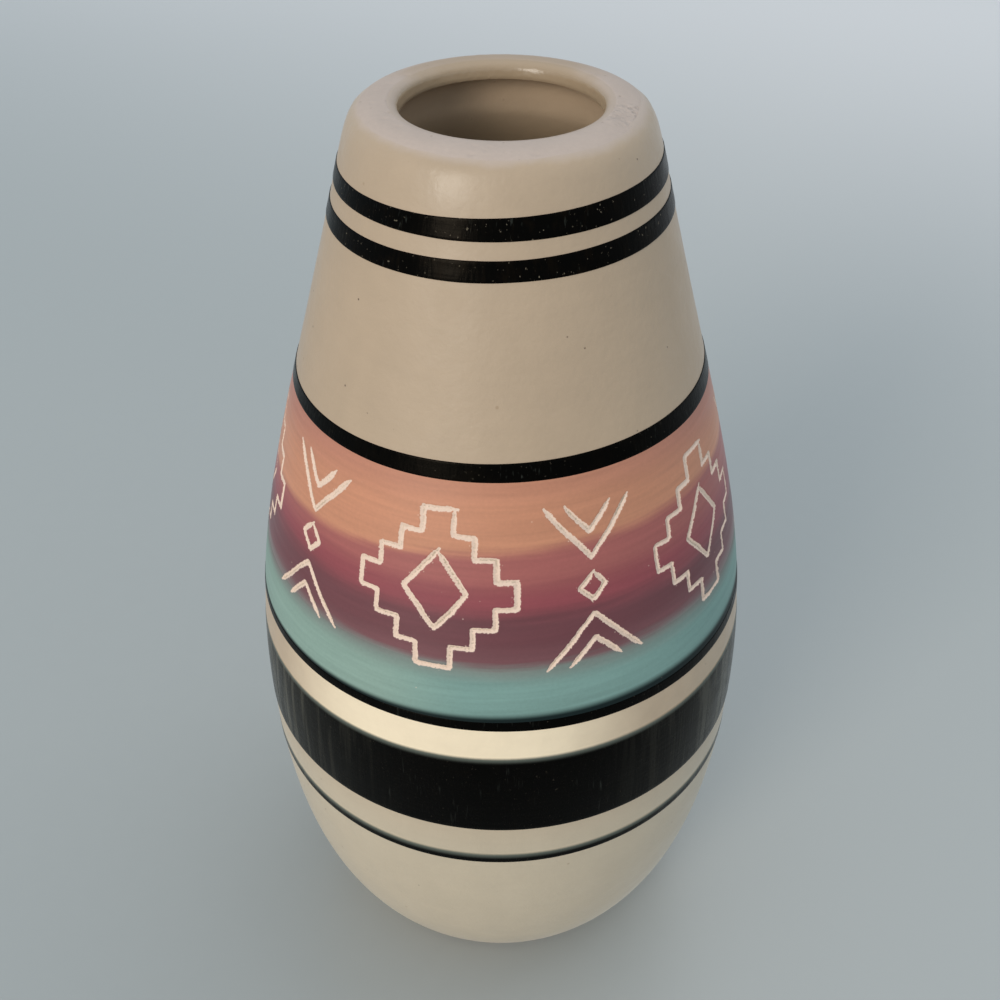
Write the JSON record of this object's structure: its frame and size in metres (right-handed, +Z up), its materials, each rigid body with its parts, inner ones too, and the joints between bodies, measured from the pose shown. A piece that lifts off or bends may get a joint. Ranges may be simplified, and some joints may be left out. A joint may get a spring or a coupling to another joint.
{
  "type": "pottery vase",
  "caption": "Tapered round pottery vase with a belly, a thick rolled rim and a narrow mouth; cream slip, black painted rings and a coloured zone, glazed inside.",
  "frame": {"origin": "centre of the foot, on the plane that the vase stands on", "axes": "+Z up along the axis of the vase; X and Y are alike, because the vase is round"},
  "size_m": [0.1032, 0.1032, 0.1924],
  "materials": {
    "bare_clay": "matte",
    "cream_slip": "satin",
    "black_slip": "satin",
    "peach_slip": "satin",
    "rose_slip": "satin",
    "plum_slip": "satin",
    "turquoise_slip": "satin",
    "inner_glaze": "gloss"
  },
  "bodies": {
    "root": {"clay_body": "bare_clay", "inner_glaze": "inner_glaze", "cream_slip": "cream_slip", "rim_band_upper": "black_slip", "rim_band_lower": "black_slip", "shoulder_band": "black_slip", "peach_coat": "peach_slip", "rose_coat": "rose_slip", "plum_coat": "plum_slip", "turquoise_coat": "turquoise_slip", "belly_line": "black_slip", "wide_black_band": "black_slip", "lower_pinstripe": "black_slip"}
  },
  "joints": []
}
